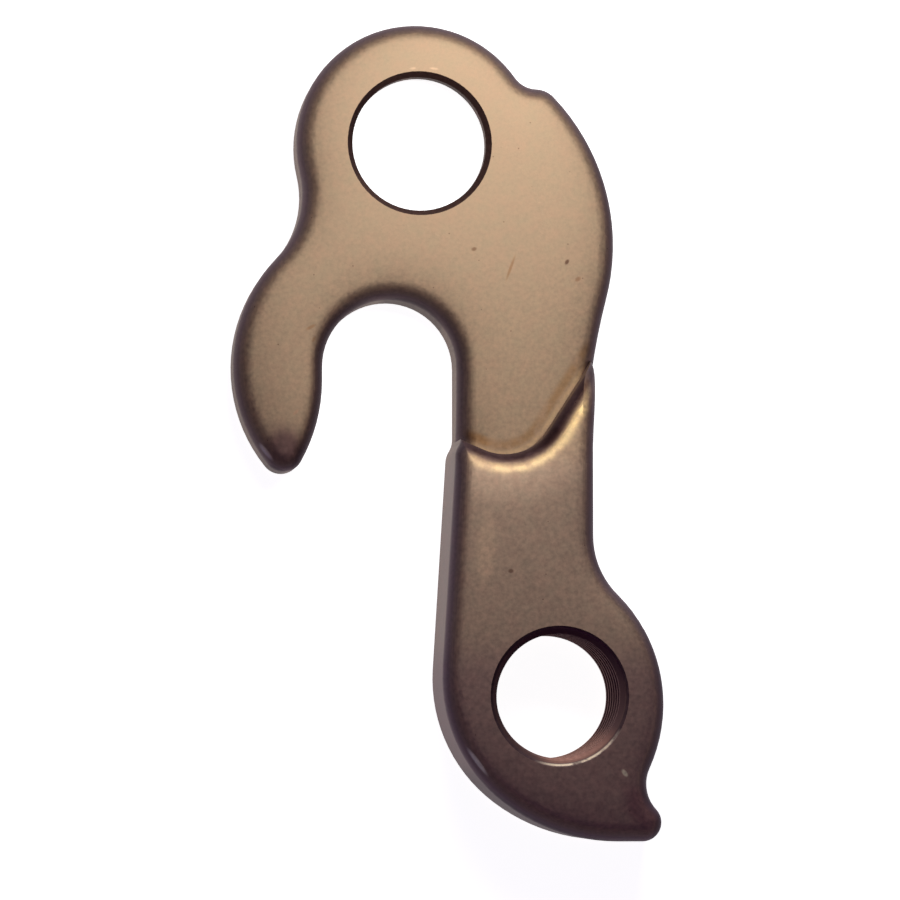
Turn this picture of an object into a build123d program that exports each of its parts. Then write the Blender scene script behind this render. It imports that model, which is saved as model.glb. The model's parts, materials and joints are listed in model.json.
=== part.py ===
from build123d import *
import os
from math import atan2, cos, pi, radians, sin, sqrt
from typing import NamedTuple

# Derailleur hanger of a bicycle, one piece of forged and machined aluminium.
# A flat plate is bolted to the frame and hooks round the front of the rear axle. Below the axle
# the piece steps up to a thicker arm, with the derailleur's threaded hole and a stop tab at its end.
# Millimetres. The flat back lies on z = 0, +Z runs along every hole, the origin is on the frame
# bolt's axis, and the axle slot opens towards -Y. Behind means towards +X, the rear of the bicycle.

# Thickness and edges
PLATE_T = 4.4               # plate that is clamped to the frame
ARM_T = 8.0                 # arm and lug, raised above the plate
EDGE_R = 1.35               # rounding of the front edges
BACK_CHAMFER = 0.4          # flat that breaks the back edges
EDGE_SPARE = 0.05           # least the front rounding stays under the outline's tightest corner

# Frame bolt, its head let into the back, and the round boss about it
BOLT_HOLE_D = 10.0
BOLT_CHAMFER = 0.4
BOLT_HEAD_D = 12.6
BOLT_HEAD_DEPTH = 3.1
BOSS_R = 9.1

# Rear axle slot, its centre taken from the bolt's axis, and the hook in front of it
AXLE_X = -2.1
AXLE_Y = -16.6
SLOT_W = 10.0
SLOT_STRAIGHT = 1.1         # straight wall on the hook's side, below the axle's centre
HOOK_R = 11.65              # outside of the hook, about the axle
HOOK_TIP_R = 1.5
HOOK_TIP_ANGLE = 219.0      # place of the tip about the axle, in degrees
WAIST_R = 7.0               # hollow between boss and hook

# Rear side of the plate, from the boss down to the arm
BULGE_Y = -7.2              # height of the bulge's centre, from the bolt's axis
BULGE_R = 16.0
BULGE_OUT = 2.15            # how far the bulge stands out behind the arm
BUMP_R = 1.9                # rounded upper corner of the bulge
BUMP_ANGLE = 44.0           # place of that corner about the bulge's centre, in degrees
NOTCH_R = 2.0               # hollow between that corner and the boss
NECK_R = 50.0               # hollow between bulge and arm

# Arm
ARM_W = 10.15               # at its upper end
ARM_LEAN = 3.5              # lean of its front side, in degrees
SHOULDER_OUT = 0.4          # how far that side stands out into the slot's mouth
SHOULDER_DROP = 5.25        # top of that shoulder, below the axle's centre
SHOULDER_R = 1.6
ARM_END_RISE = 1.3          # its upper end, on the rear side, above the axle's centre
ARM_END_R = 5.2             # rounding that brings its face down to that end

# Step between plate and arm, cut to the rounded foot of the frame's dropout
STEP_R = 3.95
STEP_BEHIND = 3.6           # centre of the rounding, from the arm's front side
STEP_DROP = 2.7             # the same, below the axle's centre
STEP_FRONT_ANGLE = -25.0    # slope of the step's front run, in degrees
STEP_REAR_ANGLE = 57.0      # slope of its rear run
STEP_EDGE_R = 1.5           # rounding along the step's upper edge

# Derailleur thread, its axis taken from the axle's centre, and the lug about it
THREAD_BORE_D = 9.1         # crests of the M10 x 1 thread
THREAD_RIM_D = 10.25        # outer diameter of the countersink at each end
THREAD_BEHIND = 12.0
THREAD_DROP = 24.45
LUG_R = 11.2
LUG_REACH = 7.95            # rear edge of the lug, from the thread's axis
LUG_DROP = 0.55             # centre of the lug's rounding, below the thread's axis
HIP_R = 6.1                 # hollow between arm and lug
CHIN_R = 11.5               # rounding under the front of the lug
CHIN_LIFT = 0.5             # height of the chin's lowest point above the tab's underside
SOLE_FLATTER = 2.5          # how much larger the radius is under the lug than at the chin

# Stop tab, for the derailleur's tension screw
TAB_DROP = 10.65            # underside, below the thread's axis
TAB_REACH = 7.75            # tip, behind the thread's axis
TAB_TIP_R = 1.4
TAB_NOTCH_R = 2.7           # hollow between tab and lug


class Side(NamedTuple):
    """Straight stretch of the outline: a point on it, and the way it runs with the metal on its left."""
    start: Vector
    along: Vector


class Round(NamedTuple):
    """Round stretch of the outline, an outer corner where bulging and a hollow where not."""
    centre: Vector
    radius: float
    bulging: bool


def heading(degrees):
    return Vector(cos(radians(degrees)), sin(radians(degrees)))


def leftward(along):
    return Vector(-along.Y, along.X)


def between(centre_a, reach_a, centre_b, reach_b):
    """Point at these two distances from two centres, on the left of the way from a to b."""
    span = centre_b - centre_a
    forward = (span.length ** 2 + reach_a ** 2 - reach_b ** 2) / (2 * span.length)
    aside = sqrt(reach_a ** 2 - forward ** 2)
    way = span.normalized()
    return centre_a + way * forward + leftward(way) * aside


def beside(side, offset, centre, reach, ahead):
    """Point at an offset to the left of a side and at a distance from a centre, ahead of it or behind it."""
    foot = side.start + leftward(side.along) * offset
    along = (centre - foot).dot(side.along)
    aside = (centre - foot).dot(leftward(side.along))
    run = sqrt(reach ** 2 - aside ** 2)
    return foot + side.along * (along + (run if ahead else -run))


def touch(first, second):
    """Point where two neighbouring stretches of the outline run into each other."""
    if isinstance(first, Side):
        return first.start + first.along * (second.centre - first.start).dot(first.along)
    if isinstance(second, Side):
        return touch(second, first)
    way = (second.centre - first.centre).normalized()
    nested = first.bulging == second.bulging
    return first.centre + way * (-first.radius if nested and first.radius < second.radius else first.radius)


def stretch(piece, start, end):
    """Edge of one stretch, from its touch with the stretch before to its touch with the next."""
    if isinstance(piece, Side):
        return Line(start, end)
    from_centre = start - piece.centre
    to_centre = end - piece.centre
    first = atan2(from_centre.Y, from_centre.X)
    turn = (atan2(to_centre.Y, to_centre.X) - first) % (2 * pi)
    if not piece.bulging:
        turn -= 2 * pi
    middle = first + turn / 2
    return ThreePointArc(start, piece.centre + Vector(cos(middle), sin(middle)) * piece.radius, end)


# Places that several features share
bolt = Vector(0, 0)
axle = Vector(AXLE_X, AXLE_Y)
thread = axle + Vector(THREAD_BEHIND, -THREAD_DROP)
arm_front = axle.X + SLOT_W / 2 - SHOULDER_OUT
arm_rear = arm_front + ARM_W

# Boss, waist and hook
boss = Round(bolt, BOSS_R, True)
waist = Round(between(axle, HOOK_R + WAIST_R, bolt, BOSS_R + WAIST_R), WAIST_R, False)
hook = Round(axle, HOOK_R, True)
hook_tip = Round(axle + heading(HOOK_TIP_ANGLE) * (HOOK_R - HOOK_TIP_R), HOOK_TIP_R, True)

# Slot: the hook's inner side curves from the straight wall to the tip
slot_front = Side(axle - Vector(SLOT_W / 2, 0), Vector(0, 1))
slot_rear = Side(axle + Vector(SLOT_W / 2, 0), Vector(0, -1))
arch = Round(axle, SLOT_W / 2, False)
inner_start = slot_front.start - Vector(0, SLOT_STRAIGHT)
to_tip = inner_start - hook_tip.centre
inner_r = (to_tip.length ** 2 - HOOK_TIP_R ** 2) / (2 * (to_tip.X - HOOK_TIP_R))
hook_inner = Round(inner_start - Vector(inner_r, 0), inner_r, True)

# Front side of the arm, with the small shoulder at its top
shoulder_y = axle.Y - SHOULDER_DROP
arm_front_side = Side(Vector(arm_front, shoulder_y), heading(-90 - ARM_LEAN))
hollow = Round(Vector(slot_rear.start.X - SHOULDER_R, shoulder_y), SHOULDER_R, False)
shoulder = Round(
    beside(arm_front_side, SHOULDER_R, hollow.centre, 2 * SHOULDER_R, ahead=True), SHOULDER_R, True
)

# Chin, sole and stop tab
underside = Side(thread - Vector(0, TAB_DROP), Vector(1, 0))
chin_line = arm_front_side.start + leftward(arm_front_side.along) * CHIN_R
chin_y = underside.start.Y + CHIN_LIFT + CHIN_R
chin = Round(
    chin_line + arm_front_side.along * ((chin_y - chin_line.Y) / arm_front_side.along.Y), CHIN_R, True
)
sole_r = CHIN_R + SOLE_FLATTER
sole = Round(beside(underside, sole_r, chin.centre, SOLE_FLATTER, ahead=True), sole_r, True)
tab_tip = Round(underside.start + Vector(TAB_REACH - TAB_TIP_R, TAB_TIP_R), TAB_TIP_R, True)

# Lug and the rear side of the arm
lug = Round(thread + Vector(LUG_REACH - LUG_R, -LUG_DROP), LUG_R, True)
tab_notch = Round(
    between(lug.centre, LUG_R + TAB_NOTCH_R, tab_tip.centre, TAB_TIP_R + TAB_NOTCH_R), TAB_NOTCH_R, False
)
arm_rear_side = Side(Vector(arm_rear, axle.Y), Vector(0, 1))
hip = Round(beside(arm_rear_side, -HIP_R, lug.centre, LUG_R + HIP_R, ahead=True), HIP_R, False)

# Bulge, with its upper corner and the notch below the boss
bulge = Round(Vector(arm_rear + BULGE_OUT - BULGE_R, BULGE_Y), BULGE_R, True)
neck = Round(beside(arm_rear_side, -NECK_R, bulge.centre, BULGE_R + NECK_R, ahead=False), NECK_R, False)
bump = Round(bulge.centre + heading(BUMP_ANGLE) * (BULGE_R - BUMP_R), BUMP_R, True)
notch = Round(between(bolt, BOSS_R + NOTCH_R, bump.centre, BUMP_R + NOTCH_R), NOTCH_R, False)

# Outline, counter-clockwise from the top of the boss
stretches = [
    boss, waist, hook, hook_tip, hook_inner, slot_front, arch, slot_rear,
    hollow, shoulder, arm_front_side, chin, sole, underside, tab_tip, tab_notch,
    lug, hip, arm_rear_side, neck, bulge, bump, notch,
]
touches = [touch(one, two) for one, two in zip(stretches, stretches[1:] + stretches[:1])]
edges = [stretch(piece, touches[i - 1], touches[i]) for i, piece in enumerate(stretches)]
outline = make_face(edges)

# Plate over the whole outline, with rounded front edges
edge_r = min(EDGE_R, min(HOOK_TIP_R, BUMP_R, SHOULDER_R, TAB_TIP_R) - EDGE_SPARE)
plate = extrude(outline, PLATE_T)
plate = fillet(plate.edges().group_by(Axis.Z)[-1], edge_r)

# Blank for the arm, brought down to its upper end and rounded along its front edges
first, last = stretches.index(slot_rear), stretches.index(neck)
slot_top, neck_top = touches[first - 1], touches[last]
arm_outline = make_face(edges[first:last + 1] + [Polyline(neck_top, (slot_top.X, neck_top.Y), slot_top)])
arm_end = Plane(origin=(0, axle.Y + ARM_END_RISE, 0), z_dir=(0, -1, 0))
blank = split(extrude(arm_outline, ARM_T), bisect_by=arm_end, keep=Keep.TOP)
blank = fillet(blank.edges().group_by(Axis.Z)[-1].group_by(Axis.Y)[-1], ARM_END_R)
blank = fillet(blank.edges().group_by(Axis.Z)[-1].filter_by(Axis.X, reverse=True), edge_r)

# Block below the step, wider than the piece, with the step's upper edge rounded
step_centre = Vector(arm_front + STEP_BEHIND, axle.Y - STEP_DROP)
front_run = Side(step_centre - leftward(heading(STEP_FRONT_ANGLE)) * STEP_R, heading(STEP_FRONT_ANGLE))
rear_run = Side(step_centre - leftward(heading(STEP_REAR_ANGLE)) * STEP_R, heading(STEP_REAR_ANGLE))
block_floor = underside.start.Y - ARM_W
block_rear = arm_rear + BULGE_OUT + ARM_W
front_end = front_run.start + front_run.along * ((axle.X - front_run.start.X) / front_run.along.X)
rear_end = rear_run.start + rear_run.along * ((block_rear - rear_run.start.X) / rear_run.along.X)
below_step = make_face([
    Line(front_end, front_run.start),
    stretch(Round(step_centre, STEP_R, True), front_run.start, rear_run.start),
    Line(rear_run.start, rear_end),
    Polyline(rear_end, (block_rear, block_floor), (axle.X, block_floor), front_end),
])
block = extrude(below_step, ARM_T)
step_edge = block.edges().group_by(Axis.Z)[-1].filter_by(Axis.X, reverse=True).filter_by(Axis.Y, reverse=True)
block = fillet(step_edge, STEP_EDGE_R)

# The plate, with what the blank has below the step as the arm
hanger = plate + (blank & block)
hanger = chamfer(hanger.edges().group_by(Axis.Z)[0], BACK_CHAMFER)


def turned(place, *section):
    """Cutter for a hole: its half section, radius and height from the back up, turned about its axis."""
    low = (0, section[0][1])
    high = (0, section[-1][1])
    half = make_face(Polyline(low, *section, high, close=True))
    return Pos(place.X, place.Y) * revolve(Plane.XZ * half, Axis.Z)


# Frame bolt's hole, with the seat for its head at the back
bolt_r = BOLT_HOLE_D / 2
head_r = BOLT_HEAD_D / 2
hanger -= turned(
    bolt,
    (head_r, 0),
    (head_r, BOLT_HEAD_DEPTH),
    (bolt_r, BOLT_HEAD_DEPTH),
    (bolt_r, PLATE_T - BOLT_CHAMFER),
    (bolt_r + BOLT_CHAMFER, PLATE_T),
)

# Derailleur's threaded hole, countersunk at both ends
thread_r = THREAD_BORE_D / 2
rim_r = THREAD_RIM_D / 2
sink = rim_r - thread_r
hanger -= turned(thread, (rim_r, 0), (thread_r, sink), (thread_r, ARM_T - sink), (rim_r, ARM_T))

os.makedirs("parts", exist_ok=True)
export_step(hanger, "parts/derailleur_hanger.step")
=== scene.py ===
import json
from math import cos, exp, pi, radians, sin, tau

import bmesh
import bpy
from mathutils import Matrix, Vector
from mathutils.kdtree import KDTree


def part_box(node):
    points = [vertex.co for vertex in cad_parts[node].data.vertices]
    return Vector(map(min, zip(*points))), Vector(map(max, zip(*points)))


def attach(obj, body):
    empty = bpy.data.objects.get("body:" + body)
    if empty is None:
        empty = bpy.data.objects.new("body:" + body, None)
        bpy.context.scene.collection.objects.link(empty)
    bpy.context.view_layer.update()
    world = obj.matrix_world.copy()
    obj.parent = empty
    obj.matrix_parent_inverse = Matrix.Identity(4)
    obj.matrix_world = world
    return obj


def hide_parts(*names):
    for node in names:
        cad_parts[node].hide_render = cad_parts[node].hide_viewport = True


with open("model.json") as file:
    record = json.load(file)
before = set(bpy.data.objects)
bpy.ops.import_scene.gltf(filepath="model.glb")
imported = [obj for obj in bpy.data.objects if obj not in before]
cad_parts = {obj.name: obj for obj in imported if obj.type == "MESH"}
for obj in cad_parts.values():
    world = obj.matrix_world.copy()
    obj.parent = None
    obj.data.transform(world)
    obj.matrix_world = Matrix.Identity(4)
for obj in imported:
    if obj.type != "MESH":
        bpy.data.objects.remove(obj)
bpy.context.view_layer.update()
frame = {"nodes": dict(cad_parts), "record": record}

# Derailleur hanger: one piece of forged aluminium with milled holes and a milled step, blasted and
# anodised a warm bronze. It is bolted to a bicycle's frame, hooks round the rear axle and carries the
# derailleur in the M10 x 1 thread of its lug. Here it lies on its flat back.
MM = 0.001
WELD = 1e-3 * MM                # points closer than this are one
CROWN = 0.4 * MM                # how far tumbling has lowered the faces at a straight edge
CROWN_REACH = 0.95 * MM         # distance from the edge over which that fades
CROWN_RANGE = 5 * CROWN_REACH   # distance at which it has ended
CROWN_SPACING = 0.15 * MM       # spacing of the points along the edges that it is summed over
CROWN_GRID = 0.75 * MM          # spacing of the lines that divide the upper faces for it
UPPER_Z = 0.05                  # the normal of an upper face rises by more than this
WALL_Z = 0.01                   # and that of an upright wall rises or falls by less than this
BORE_SLACK = 0.3 * MM           # how far round a bore its wall is looked for

mounts = {mount["name"]: mount for mount in frame["record"]["mounts"]}
bores = [mount for mount in mounts.values() if "r_mm" in mount["dims"]]


def divide(shape, marked, axis, low, high):
    """Cuts the marked faces along evenly spaced lines across one axis."""
    normal = Vector([float(axis == k) for k in range(3)])
    for k in range(1, round((high - low) / CROWN_GRID)):
        faces = [face for face in shape.faces if face[marked]]
        edges = {edge for face in faces for edge in face.edges}
        verts = {vert for face in faces for vert in face.verts}
        line = normal * (low + k * CROWN_GRID)
        bmesh.ops.bisect_plane(shape, geom=[*faces, *edges, *verts], plane_co=line, plane_no=normal)


def foot_points(walls):
    """Tree of evenly spaced points along the feet of upright walls, seen from above."""
    points = []
    for wall in walls:
        middle = wall.calc_center_median().z
        for edge in wall.edges:
            start, end = (vert.co for vert in edge.verts)
            if max(start.z, end.z) < middle:
                count = max(1, round((end - start).length / CROWN_SPACING))
                points += [start.lerp(end, (k + 0.5) / count) * Vector((1, 1, 0)) for k in range(count)]
    found = KDTree(len(points))
    for index, point in enumerate(points):
        found.insert(point, index)
    found.balance()
    return found


def in_bore(point):
    """Whether a point lies in a round hole or in its wall."""
    for bore in bores:
        if (point - Vector(bore["pos_m"])).to_2d().length < bore["dims"]["r_mm"] * MM + BORE_SLACK:
            return True
    return False


body = bmesh.new()
body.from_mesh(frame["nodes"]["derailleur_hanger"].data)
bmesh.ops.remove_doubles(body, verts=body.verts, dist=WELD)
lowest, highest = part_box("derailleur_hanger")
upper = body.faces.layers.int.new("upper")
for face in body.faces:
    face[upper] = face.normal.z > UPPER_Z
divide(body, upper, 0, lowest.x, highest.x)
divide(body, upper, 1, lowest.y, highest.y)
body.faces.layers.int.remove(upper)
plate_z = mounts["frame_seat"]["pos_m"][2]
back_z = plate_z / 4            # the back and its chamfer lie below this, and aren't lowered
walls = [face for face in body.faces if abs(face.normal.z) < WALL_Z]
walls = [wall for wall in walls if not in_bore(wall.calc_center_median())]
plate_edge = foot_points([wall for wall in walls if min(vert.co.z for vert in wall.verts) < plate_z / 2])
arm_edge = foot_points([wall for wall in walls if max(vert.co.z for vert in wall.verts) > plate_z + CROWN])
for vert in body.verts:
    if vert.co.z > back_z:
        edge = arm_edge if vert.co.z > plate_z + CROWN / 2 else plate_edge
        near = edge.find_range((vert.co.x, vert.co.y, 0), CROWN_RANGE)
        closeness = sum(exp(-distance / CROWN_REACH) for _, _, distance in near)
        vert.co.z -= CROWN * closeness * CROWN_SPACING / (2 * CROWN_REACH)
hanger_mesh = bpy.data.meshes.new("hanger")
body.to_mesh(hanger_mesh)
body.free()
hanger_mesh.attributes.remove(hanger_mesh.attributes["custom_normal"])
hanger = bpy.data.objects.new("hanger", hanger_mesh)
bpy.context.scene.collection.objects.link(hanger)

# Its thread, cut by a screw of the thread's own form
THREAD_PITCH = 1.0 * MM
THREAD_ROOT_R = 5.0 * MM
THREAD_FLANK = 0.26 * MM        # height of one flank along the bore
THREAD_ROOT_FLAT = 0.125 * MM
THREAD_STEPS = 96               # facets round the bore
SHARP_ANGLE = 0.55              # edges that turn by more stay crisp, in radians


def thread_cutter(mount, low, high):
    """Closed screw along a mount's axis, from one height to another, with a thread's profile on its side."""
    centre = Vector(mount["pos_m"])
    crest_r = mount["dims"]["r_mm"] * MM
    crest_flat = THREAD_PITCH - THREAD_ROOT_FLAT - 2 * THREAD_FLANK
    profile = [
        (0, crest_r),
        (crest_flat, crest_r),
        (crest_flat + THREAD_FLANK, THREAD_ROOT_R),
        (crest_flat + THREAD_FLANK + THREAD_ROOT_FLAT, THREAD_ROOT_R),
    ]
    turns = round((high - low) / THREAD_PITCH)
    screw = bmesh.new()
    rows = []
    for step in range((turns + 1) * THREAD_STEPS + 1):
        angle = tau * step / THREAD_STEPS
        rise = low + THREAD_PITCH * step / THREAD_STEPS
        rows.append([
            screw.verts.new((centre.x + r * cos(angle), centre.y + r * sin(angle), rise + up))
            for up, r in profile
        ])
    for step in range(turns * THREAD_STEPS):
        here = rows[step] + [rows[step + THREAD_STEPS][0]]
        ahead = rows[step + 1] + [rows[step + THREAD_STEPS + 1][0]]
        for k in range(len(profile)):
            screw.faces.new((here[k], ahead[k], ahead[k + 1], here[k + 1]))
    for start, tip_z in ((0, low - THREAD_PITCH), (turns * THREAD_STEPS, high + 2 * THREAD_PITCH)):
        tip = screw.verts.new((centre.x, centre.y, tip_z))
        rim = [rows[start + step][0] for step in range(THREAD_STEPS + 1)] + rows[start][:0:-1]
        for k in range(len(rim)):
            screw.faces.new((tip, rim[k], rim[(k + 1) % len(rim)]))
    loose = [vert for vert in screw.verts if not vert.link_faces]
    bmesh.ops.delete(screw, geom=loose, context="VERTS")
    bmesh.ops.recalc_face_normals(screw, faces=screw.faces)
    mesh = bpy.data.meshes.new("thread_cutter")
    screw.to_mesh(mesh)
    screw.free()
    return bpy.data.objects.new("thread_cutter", mesh)


cutter = thread_cutter(mounts["derailleur_thread"], lowest.z - 2 * THREAD_PITCH, highest.z + THREAD_PITCH)
bpy.context.scene.collection.objects.link(cutter)
cut = hanger.modifiers.new("thread", "BOOLEAN")
cut.object = cutter
cut.operation = "DIFFERENCE"
cut.solver = "EXACT"
bpy.context.view_layer.update()
threaded = bpy.data.meshes.new_from_object(hanger.evaluated_get(bpy.context.evaluated_depsgraph_get()))
hanger.modifiers.clear()
hanger.data = threaded
bpy.data.objects.remove(cutter)
threaded.shade_smooth()
threaded.set_sharp_from_angle(angle=SHARP_ANGLE)
weighted = hanger.modifiers.new("even_shading", "WEIGHTED_NORMAL")
weighted.keep_sharp = True

# Its finish, in mm. A tone is a colour to multiply by, and a fade says where it is full and where it ends.
# The bronze is palest on the faces; painted shade darkens it on the rounded edges, and more to the rear and
# below.
BRONZE_AND_EDGE_SHADE = [                  # bronze, with painted shade on walls and rounded edges, by how far a surface faces up or down, from a wall to a flat face
    (0.00, (0.205, 0.148, 0.122, 1)),
    (0.30, (0.12, 0.080, 0.088, 1)),
    (0.60, (0.12, 0.078, 0.086, 1)),
    (0.77, (0.22, 0.150, 0.118, 1)),
    (0.87, (0.36, 0.252, 0.165, 1)),
    (0.94, (0.44, 0.32, 0.208, 1)),
]
REAR_SHADE_WAY = (0.97, -0.24, 0)     # painted shade: edges that face this way are darker
REAR_SHADE_FADE = (0.7, 0.45)
REAR_SHADE_TONE = (0.6, 0.53, 0.58, 1)
UNDER_SHADE_WAY = (-0.4, -0.92, 0)    # and painted shade darkens walls that face this way
UNDER_SHADE_FADE = (0.92, 0.82)
UNDER_SHADE_TONE = (0.62, 0.6, 0.64, 1)
ARM_LIGHT_FADE = (-25, -22)           # by y: painted light makes the arm a little lighter and bluer than the plate
ARM_PAINTED_LIGHT = (1.05, 1.06, 1.14, 1)
# and painted shade makes the lug darker and more purple
LUG_SHADE_FADE = (-40, -36)
LUG_PAINTED_SHADE = (0.87, 0.82, 1.0, 1)
FRONT_FADE = (0.4, 0.2)         # by how far a surface faces up: what shows from the front
BACK_FADE = (-0.3, -0.6)        # and all but the back
MIX_INPUTS = (0, 6, 7)          # a mix node's sockets for its factor and its two colours
MIX_RESULT = 2


def node(tree, kind, inputs, **settings):
    """New node in a tree, with its settings made, and its inputs set to values or linked to other outputs."""
    made = tree.nodes.new(kind)
    for name, value in settings.items():
        setattr(made, name, value)
    for name, value in inputs.items():
        if isinstance(value, bpy.types.NodeSocket):
            tree.links.new(value, made.inputs[name])
        else:
            made.inputs[name].default_value = value
    return made


def maths(tree, operation, *values):
    """Output of a sum on one to three numbers."""
    return node(tree, "ShaderNodeMath", dict(enumerate(values)), operation=operation).outputs[0]


def vector_maths(tree, operation, *values):
    """Output of a sum on one or two vectors, a number where the sum gives one."""
    made = node(tree, "ShaderNodeVectorMath", dict(enumerate(values)), operation=operation)
    return made.outputs["Value" if operation in ("DOT_PRODUCT", "LENGTH") else "Vector"]


def fade(tree, value, start, end):
    """Mask that is 1 up to one value and falls softly to 0 at another."""
    span = {"Value": value, "From Min": start, "From Max": end, "To Min": 1.0, "To Max": 0.0}
    return node(tree, "ShaderNodeMapRange", span, interpolation_type="SMOOTHSTEP").outputs["Result"]


def shade(tree, mask, colour, tone, kind="MULTIPLY"):
    """Colour multiplied by a tone, or replaced by it, where a mask is 1."""
    inputs = dict(zip(MIX_INPUTS, (mask, colour, tone)))
    return node(tree, "ShaderNodeMix", inputs, data_type="RGBA", blend_type=kind).outputs[MIX_RESULT]


bronze = bpy.data.materials.new("bronze_anodise")
bronze.use_nodes = True
tree = bronze.node_tree
shader = tree.nodes["Principled BSDF"]
shader.inputs["Metallic"].default_value = 1.0
here = node(tree, "ShaderNodeTexCoord", {})
place = vector_maths(tree, "DIVIDE", here.outputs["Object"], (MM, MM, MM))
at = node(tree, "ShaderNodeSeparateXYZ", {0: place})
facing = node(tree, "ShaderNodeSeparateXYZ", {0: here.outputs["Normal"]}).outputs["Z"]
upright = maths(tree, "ABSOLUTE", facing)
front = fade(tree, facing, *FRONT_FADE)

# bronze on the faces, with painted shade on the rounded edges and walls
edge_shade_ramp = node(tree, "ShaderNodeValToRGB", {"Fac": upright})
stops = edge_shade_ramp.color_ramp.elements
while len(stops) < len(BRONZE_AND_EDGE_SHADE):
    stops.new(1.0)
for stop, (position, tone) in zip(stops, BRONZE_AND_EDGE_SHADE):
    stop.position = position
    stop.color = tone
# painted shade on the edges that face to the rear
rear_shade_facing = vector_maths(tree, "DOT_PRODUCT", here.outputs["Normal"], REAR_SHADE_WAY)
colour = shade(tree, fade(tree, rear_shade_facing, *REAR_SHADE_FADE), edge_shade_ramp.outputs["Color"], REAR_SHADE_TONE)
# painted shade on the walls that face down the picture
under_shade_facing = vector_maths(tree, "DOT_PRODUCT", here.outputs["Normal"], UNDER_SHADE_WAY)
colour = shade(tree, fade(tree, under_shade_facing, *UNDER_SHADE_FADE), colour, UNDER_SHADE_TONE)
# painted light on the arm and painted shade on the lug
arm_and_lug_light = shade(tree, fade(tree, at.outputs["Y"], *LUG_SHADE_FADE), ARM_PAINTED_LIGHT, LUG_PAINTED_SHADE, "MIX")
arm_light_mask = maths(tree, "MULTIPLY", fade(tree, at.outputs["Y"], *ARM_LIGHT_FADE), fade(tree, facing, *BACK_FADE))
colour = shade(tree, arm_light_mask, colour, arm_and_lug_light)

# The grain of the blasting, faint patches of colour, a few pits, and low swells that only the light shows
SWELL_SIZE = 7.0
SWELL_HEIGHT = 0.012
PATCH_SIZE = 1.0
PINK_PATCH = (1.07, 0.99, 0.98, 1)
OLIVE_PATCH = (0.94, 1.0, 0.97, 1)
GRAIN_SIZE = 0.3
GRAIN_DETAIL = 3.0
GRAIN_HEIGHT = 0.004
GRAIN_VALUES = (0.25, 0.75)     # values of the noise that give the two shades and roughnesses below
GRAIN_SHADES = (0.81, 1.19)
GRAIN_ROUGHNESS = (0.61, 0.71)
PIT_SPACING = 1.4
PIT_FADE = (0.035, 0.07)
PIT_TONE = (0.55, 0.5, 0.5, 1)


def noise(tree, place, size, detail=2.0):
    """Value about 0.5 that changes over a given size."""
    inputs = {"Vector": place, "Scale": 1 / size, "Detail": detail}
    return node(tree, "ShaderNodeTexNoise", inputs).outputs["Fac"]


def spread(tree, value, values, results):
    """Value brought from one range to another."""
    span = {"Value": value, "From Min": values[0], "From Max": values[1],
            "To Min": results[0], "To Max": results[1]}
    return node(tree, "ShaderNodeMapRange", span).outputs["Result"]


swells = noise(tree, place, SWELL_SIZE)
patches = noise(tree, place, PATCH_SIZE)
grain = noise(tree, place, GRAIN_SIZE, GRAIN_DETAIL)
colour = shade(tree, 1.0, colour, shade(tree, patches, PINK_PATCH, OLIVE_PATCH, "MIX"))
colour = shade(tree, 1.0, colour, spread(tree, grain, GRAIN_VALUES, GRAIN_SHADES))
pits = node(tree, "ShaderNodeTexVoronoi", {"Vector": place, "Scale": 1 / PIT_SPACING})
pit = fade(tree, pits.outputs["Distance"], *(size / PIT_SPACING for size in PIT_FADE))
colour = shade(tree, pit, colour, PIT_TONE)
tree.links.new(spread(tree, grain, GRAIN_VALUES, GRAIN_ROUGHNESS), shader.inputs["Roughness"])
height = maths(tree, "MULTIPLY_ADD", swells, SWELL_HEIGHT, maths(tree, "MULTIPLY", grain, GRAIN_HEIGHT))
bump = node(tree, "ShaderNodeBump", {"Distance": MM, "Height": height})
tree.links.new(bump.outputs["Normal"], shader.inputs["Normal"])

# Lines along the foot of the step, which is a round corner between two straight runs: a brown band and a
# light line on the plate, then painted shade in the crease, a painted highlight on the ridge and a painted
# sheen on the arm
STEP_CENTRE = (6.1, -19.3)
STEP_R = 3.95
STEP_FRONT_ANGLE = radians(-25.0)
STEP_REAR_ANGLE = radians(57.0)
STEP_END_FADE = (7.5, 8.5)      # distance from the step's centre at which the lines end
STEP_START_FADE = (3.9, 2.9)    # and the x at which they begin
LINE_CORE = 0.1                 # share of a line's width that has its full tone
LINE_VALUES = (0.35, 0.55)      # values of the patches that give the two strengths below
LINE_STRENGTHS = (0.45, 1.0)
STEP_BANDS_AND_PAINTED_LIGHT = [                  # distance from the foot towards the plate, half width and tone
    (0.8, 0.6, (0.87, 0.75, 0.62, 1)),
    (0.2, 0.25, (1.2, 1.15, 1.05, 1)),
    # painted shade in the crease at the foot
    (-0.4, 0.45, (0.6, 0.5, 0.5, 1)),
    # painted highlight on the ridge
    (-1.1, 0.75, (1.55, 1.6, 1.34, 1)),
    # painted sheen on the arm below it
    (-2.2, 2.6, (1.2, 1.2, 1.2, 1)),
]


def turned(tree, first, second, angle):
    """Length along a heading of a level vector, given by its two parts."""
    return maths(tree, "MULTIPLY_ADD", first, cos(angle), maths(tree, "MULTIPLY", second, sin(angle)))


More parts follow.
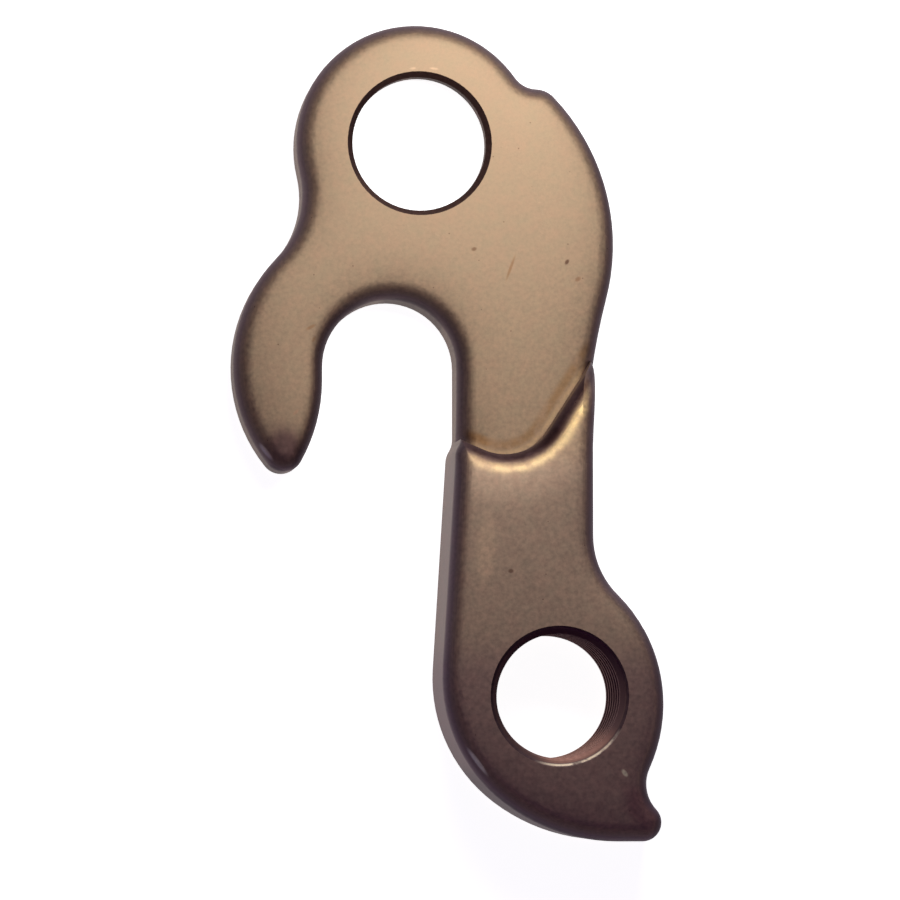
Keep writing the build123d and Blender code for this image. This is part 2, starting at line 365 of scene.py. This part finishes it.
half_fan = (STEP_REAR_ANGLE - STEP_FRONT_ANGLE) / 2
fan_middle = (STEP_REAR_ANGLE + STEP_FRONT_ANGLE - pi) / 2
step_x, step_y = (maths(tree, "SUBTRACT", at.outputs[k], STEP_CENTRE[k]) for k in range(2))
outward = turned(tree, step_x, step_y, fan_middle)
across = turned(tree, step_y, step_x, -fan_middle)
swing = maths(tree, "ARCTAN2", across, outward)
swing = maths(tree, "MAXIMUM", maths(tree, "MINIMUM", swing, half_fan), -half_fan)
reach = maths(tree, "ADD", maths(tree, "MULTIPLY", outward, maths(tree, "COSINE", swing)),
              maths(tree, "MULTIPLY", across, maths(tree, "SINE", swing)))
from_foot = maths(tree, "SUBTRACT", STEP_R, reach)
squared = maths(tree, "MULTIPLY_ADD", outward, outward, maths(tree, "MULTIPLY", across, across))
near_step = maths(tree, "MULTIPLY", fade(tree, maths(tree, "SQRT", squared), *STEP_END_FADE), front)
near_step = maths(tree, "MULTIPLY", near_step, fade(tree, at.outputs["X"], *STEP_START_FADE))
near_step = maths(tree, "MULTIPLY", near_step, spread(tree, patches, LINE_VALUES, LINE_STRENGTHS))
# the bands, with the painted shade, highlight and sheen, laid along the step
for distance, half, tone in STEP_BANDS_AND_PAINTED_LIGHT:
    off_line = maths(tree, "ABSOLUTE", maths(tree, "SUBTRACT", from_foot, distance))
    line = maths(tree, "MULTIPLY", fade(tree, off_line, LINE_CORE * half, half), near_step)
    colour = shade(tree, line, colour, tone)

# Marks and single touches of tone, some of them painted shade and painted highlights, each a soft oval on the
# front
MARK_FADE = (0.4, 1.1)          # as shares of its half length and half width
MARK_DEPTH = 1e6                # more than the piece's thickness, so that height makes no difference
MARKS_AND_PAINTED_LIGHT = [                       # middle, half length, half width, angle and tone
    # on the plate, and the last one on the arm
    (11.04, -8.73, 0.27, 0.17, 1.0, (0.42, 0.34, 0.33, 1)),
    (4.05, -7.87, 0.25, 0.18, 0.3, (0.62, 0.54, 0.5, 1)),
    (6.79, -9.25, 1.2, 0.13, 1.22, (0.82, 0.72, 0.62, 1)),
    (11.87, -10.0, 0.3, 0.2, 0.6, (0.75, 0.66, 0.6, 1)),
    (6.28, -31.95, 0.25, 0.2, 0.0, (0.55, 0.48, 0.46, 1)),
    # on the hook: scuffs, painted shade on its tip and a painted glint on its edge
    (-8.1, -13.85, 0.5, 0.16, 0.5, (0.84, 0.73, 0.64, 1)),
    (-7.87, -14.74, 0.3, 0.14, 1.1, (0.86, 0.76, 0.68, 1)),
    (-9.19, -20.16, 0.35, 0.15, 0.8, (1.18, 1.05, 1.03, 1)),
    # painted shade on the tip of the hook
    (-9.95, -22.9, 2.4, 2.0, -1.1, (0.72, 0.66, 0.73, 1)),
    (-9.98, -22.75, 1.5, 1.4, -1.1, (0.66, 0.6, 0.7, 1)),
    # painted glint on the hook's edge
    (-11.35, -23.05, 0.9, 0.18, -0.9, (2.3, 2.9, 3.0, 1)),
    # painted glints on the rim of the bolt hole
    (-0.53, 5.6, 0.3, 0.1, 0.1, (1.3, 1.3, 1.3, 1)),
    (1.05, 5.62, 0.4, 0.1, -0.1, (1.3, 1.3, 1.3, 1)),
    # at the two ends of the step: a patch of colour, painted shade in the crease and a painted highlight; and
    # a painted highlight along the front of the arm
    (4.4, -22.0, 1.1, 0.5, -0.4, (1.0, 0.93, 0.82, 1)),
    # painted shade in the crease
    (9.45, -22.0, 1.7, 0.5, 0.8, (0.6, 0.52, 0.55, 1)),
    # painted highlight at the end of the ridge
    (11.33, -20.58, 1.2, 0.5, 1.05, (1.12, 1.13, 1.05, 1)),
    # painted highlight along the front of the arm
    (4.45, -30.5, 3.2, 0.9, 1.52, (1.18, 1.18, 1.14, 1)),
    # on the lug: a bright nick, the darker tab and the glint on its edge
    (14.68, -46.68, 0.38, 0.2, -0.9, (2.2, 3.0, 2.6, 1)),
    (16.1, -49.2, 2.4, 1.5, -0.9, (0.75, 0.62, 0.72, 1)),
    # painted glint on the lug's edge
    (3.87, -45.84, 1.4, 0.18, -0.93, (2.6, 3.6, 3.6, 1)),
]

for x, y, half_length, half_width, angle, tone in MARKS_AND_PAINTED_LIGHT:
    oval = {"Vector": place, "Location": (x, y, 0), "Rotation": (0, 0, angle),
            "Scale": (half_length, half_width, MARK_DEPTH)}
    spot = node(tree, "ShaderNodeMapping", oval, vector_type="TEXTURE").outputs["Vector"]
    mark_or_painted_light = maths(tree, "MULTIPLY", fade(tree, vector_maths(tree, "LENGTH", spot), *MARK_FADE), front)
    colour = shade(tree, mark_or_painted_light, colour, tone)

# The bores of the bolt and the thread, cut through the finish, with painted shade by distance from their
# axes.
# The threaded one has painted light on the side where the tap has left a burr on its rim, and a painted
# highlight along the burr.
# painted shade on the rim and wall of the bolt hole
BOLT_FADE = (5.34, 5.42)
BOLT_RIM_SHADE = (0.55, 0.44, 0.42, 1)
BORE_FADE = (4.85, 5.0)
# painted shade on the wall and rim of the threaded bore
BORE_WALL_SHADE = (0.175, 0.12, 0.115, 1)
BORE_RIM_SHADE = (0.2, 0.12, 0.11, 1)
BORE_WALL_FADE = (0.3, 0.6)     # by how far a surface faces up or down: the wall, and then the rim
BORE_GLANCE_SHADE = (0.6, 0.45, 0.47, 1)  # painted shade: how much of a glancing reflection is left in the bore
LIT_SIDE_ANGLE = radians(-70)       # heading from the axis of the side with painted light and the burr
LIT_SIDE_FADE = (0.93, 0.72)   # by the cosine of the turn from that heading
# painted light on that side of the bore's wall
LIT_SIDE_TONE = (1.9, 1.75, 1.5, 1)
BURR_R = 5.07
BURR_FADE = (0.042, 0.14)       # by distance from that radius
# painted highlight along the burr on the rim
BURR_HIGHLIGHT_COLOUR = (1.0, 0.85, 0.64, 1)
BURR_PATCH_SIZE = 0.7
BURR_PATCH_FADE = (0.55, 0.2)


def from_axis(tree, place, mount):
    """Level vector from a mount's axis, in mm."""
    x, y, _ = mount["pos_m"]
    offset = vector_maths(tree, "SUBTRACT", place, (x / MM, y / MM, 0))
    return vector_maths(tree, "MULTIPLY", offset, (1, 1, 0))


bolt_r = vector_maths(tree, "LENGTH", from_axis(tree, place, mounts["frame_bolt_hole"]))
colour = shade(tree, fade(tree, bolt_r, *BOLT_FADE), colour, BOLT_RIM_SHADE)
from_thread = from_axis(tree, place, mounts["derailleur_thread"])
bore_r = vector_maths(tree, "LENGTH", from_thread)
bore = fade(tree, bore_r, *BORE_FADE)
lit_way = vector_maths(tree, "DOT_PRODUCT", from_thread, (cos(LIT_SIDE_ANGLE), sin(LIT_SIDE_ANGLE), 0))
lit_side = fade(tree, maths(tree, "DIVIDE", lit_way, bore_r), *LIT_SIDE_FADE)
# painted shade in the threaded bore, with painted light on one side
bore_shade_colour = shade(tree, fade(tree, upright, *BORE_WALL_FADE), BORE_RIM_SHADE, BORE_WALL_SHADE, "MIX")
bore_shade_colour = shade(tree, lit_side, bore_shade_colour, LIT_SIDE_TONE)
colour = shade(tree, bore, colour, bore_shade_colour, "MIX")
tree.links.new(shade(tree, bore, (1, 1, 1, 1), BORE_GLANCE_SHADE, "MIX"), shader.inputs["Specular Tint"])
# painted highlight along the burr, in patches
burr_highlight = fade(tree, maths(tree, "ABSOLUTE", maths(tree, "SUBTRACT", bore_r, BURR_R)), *BURR_FADE)
for limit in (lit_side, front, fade(tree, noise(tree, place, BURR_PATCH_SIZE), *BURR_PATCH_FADE)):
    burr_highlight = maths(tree, "MULTIPLY", burr_highlight, limit)
colour = shade(tree, burr_highlight, colour, BURR_HIGHLIGHT_COLOUR, "MIX")
tree.links.new(colour, shader.inputs["Base Color"])

threaded.materials.clear()
threaded.materials.append(bronze)
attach(hanger, "root")
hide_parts("derailleur_hanger")

# Floor: plain white paper that the hanger lies on, wider than any view of it. It glows a little to the
# camera and in reflections, so that it looks white and still takes the hanger's shadow.
FLOOR_HALF = 3.0                # in metres
PAPER_COLOUR = (0.8, 0.8, 0.8, 1)
PAPER_GLOW = 0.95

floor_mesh = bpy.data.meshes.new("floor")
corners = [(-1, -1), (1, -1), (1, 1), (-1, 1)]
floor_mesh.from_pydata([(x * FLOOR_HALF, y * FLOOR_HALF, 0) for x, y in corners], [], [(0, 1, 2, 3)])
floor = bpy.data.objects.new("floor", floor_mesh)
bpy.context.scene.collection.objects.link(floor)
paper = bpy.data.materials.new("white_paper")
paper.use_nodes = True
sheet = paper.node_tree.nodes["Principled BSDF"]
sheet.inputs["Base Color"].default_value = PAPER_COLOUR
sheet.inputs["Roughness"].default_value = 1.0
sheet.inputs["Emission Color"].default_value = (1, 1, 1, 1)
ray = node(paper.node_tree, "ShaderNodeLightPath", {}).outputs
seen = maths(paper.node_tree, "MAXIMUM", ray["Is Camera Ray"], ray["Is Glossy Ray"])
seen = maths(paper.node_tree, "MAXIMUM", seen, ray["Is Transmission Ray"])
glow = maths(paper.node_tree, "MULTIPLY", seen, PAPER_GLOW)
paper.node_tree.links.new(glow, sheet.inputs["Emission Strength"])
floor_mesh.materials.append(paper)

# Light: two softboxes close above the upper end of the hanger, so that their light falls off towards the
# lug. The smaller one stands behind the larger, and the room about them is dim.
ROOM_COLOUR = (0.04, 0.013, 0.07, 1)
SOFTBOXES = [                   # place, aim and side in mm, and radiance
    ((8.5, 12, 46), (2, -22, 4), 40, 4.9),
    ((14, 34, 44), (4, 4, 4), 14, 9.0),
]

world = bpy.data.worlds.new("studio")
world.use_nodes = True
world.node_tree.nodes["Background"].inputs["Color"].default_value = ROOM_COLOUR
bpy.context.scene.world = world
for place_mm, aim_mm, side_mm, radiance in SOFTBOXES:
    lamp = bpy.data.lights.new("softbox", "AREA")
    lamp.size = side_mm * MM
    lamp.energy = radiance * pi * lamp.size ** 2
    softbox = bpy.data.objects.new("softbox", lamp)
    softbox.location = Vector(place_mm) * MM
    softbox.rotation_euler = (Vector(aim_mm) - Vector(place_mm)).to_track_quat("-Z", "Y").to_euler()
    softbox.visible_camera = False
    bpy.context.scene.collection.objects.link(softbox)

# Camera: a long lens above the hanger, a little before it and below it, as in the photograph. The hanger's
# +Y points up in the picture.
CAMERA_AT = Vector((-35.281, -44.569, 300.0)) * MM
CAMERA_AIM = Vector((2.248, -22.863, 4.4)) * MM
CAMERA_LENS = 161.49            # the lens and the sensor are in mm
CAMERA_SENSOR = 36.0
CAMERA_CLIP = 10 * MM

forward = (CAMERA_AIM - CAMERA_AT).normalized()
rightward = forward.cross(Vector((0, 1, 0))).normalized()
upward = rightward.cross(forward)
camera_data = bpy.data.cameras.new("camera")
camera_data.lens = CAMERA_LENS
camera_data.sensor_width = CAMERA_SENSOR
camera_data.clip_start = CAMERA_CLIP
camera = bpy.data.objects.new("camera", camera_data)
camera_turn = Matrix((rightward, upward, -forward)).transposed().to_4x4()
camera.matrix_world = Matrix.Translation(CAMERA_AT) @ camera_turn
bpy.context.scene.collection.objects.link(camera)
bpy.context.scene.camera = camera
bpy.context.scene.view_settings.view_transform = "Standard"
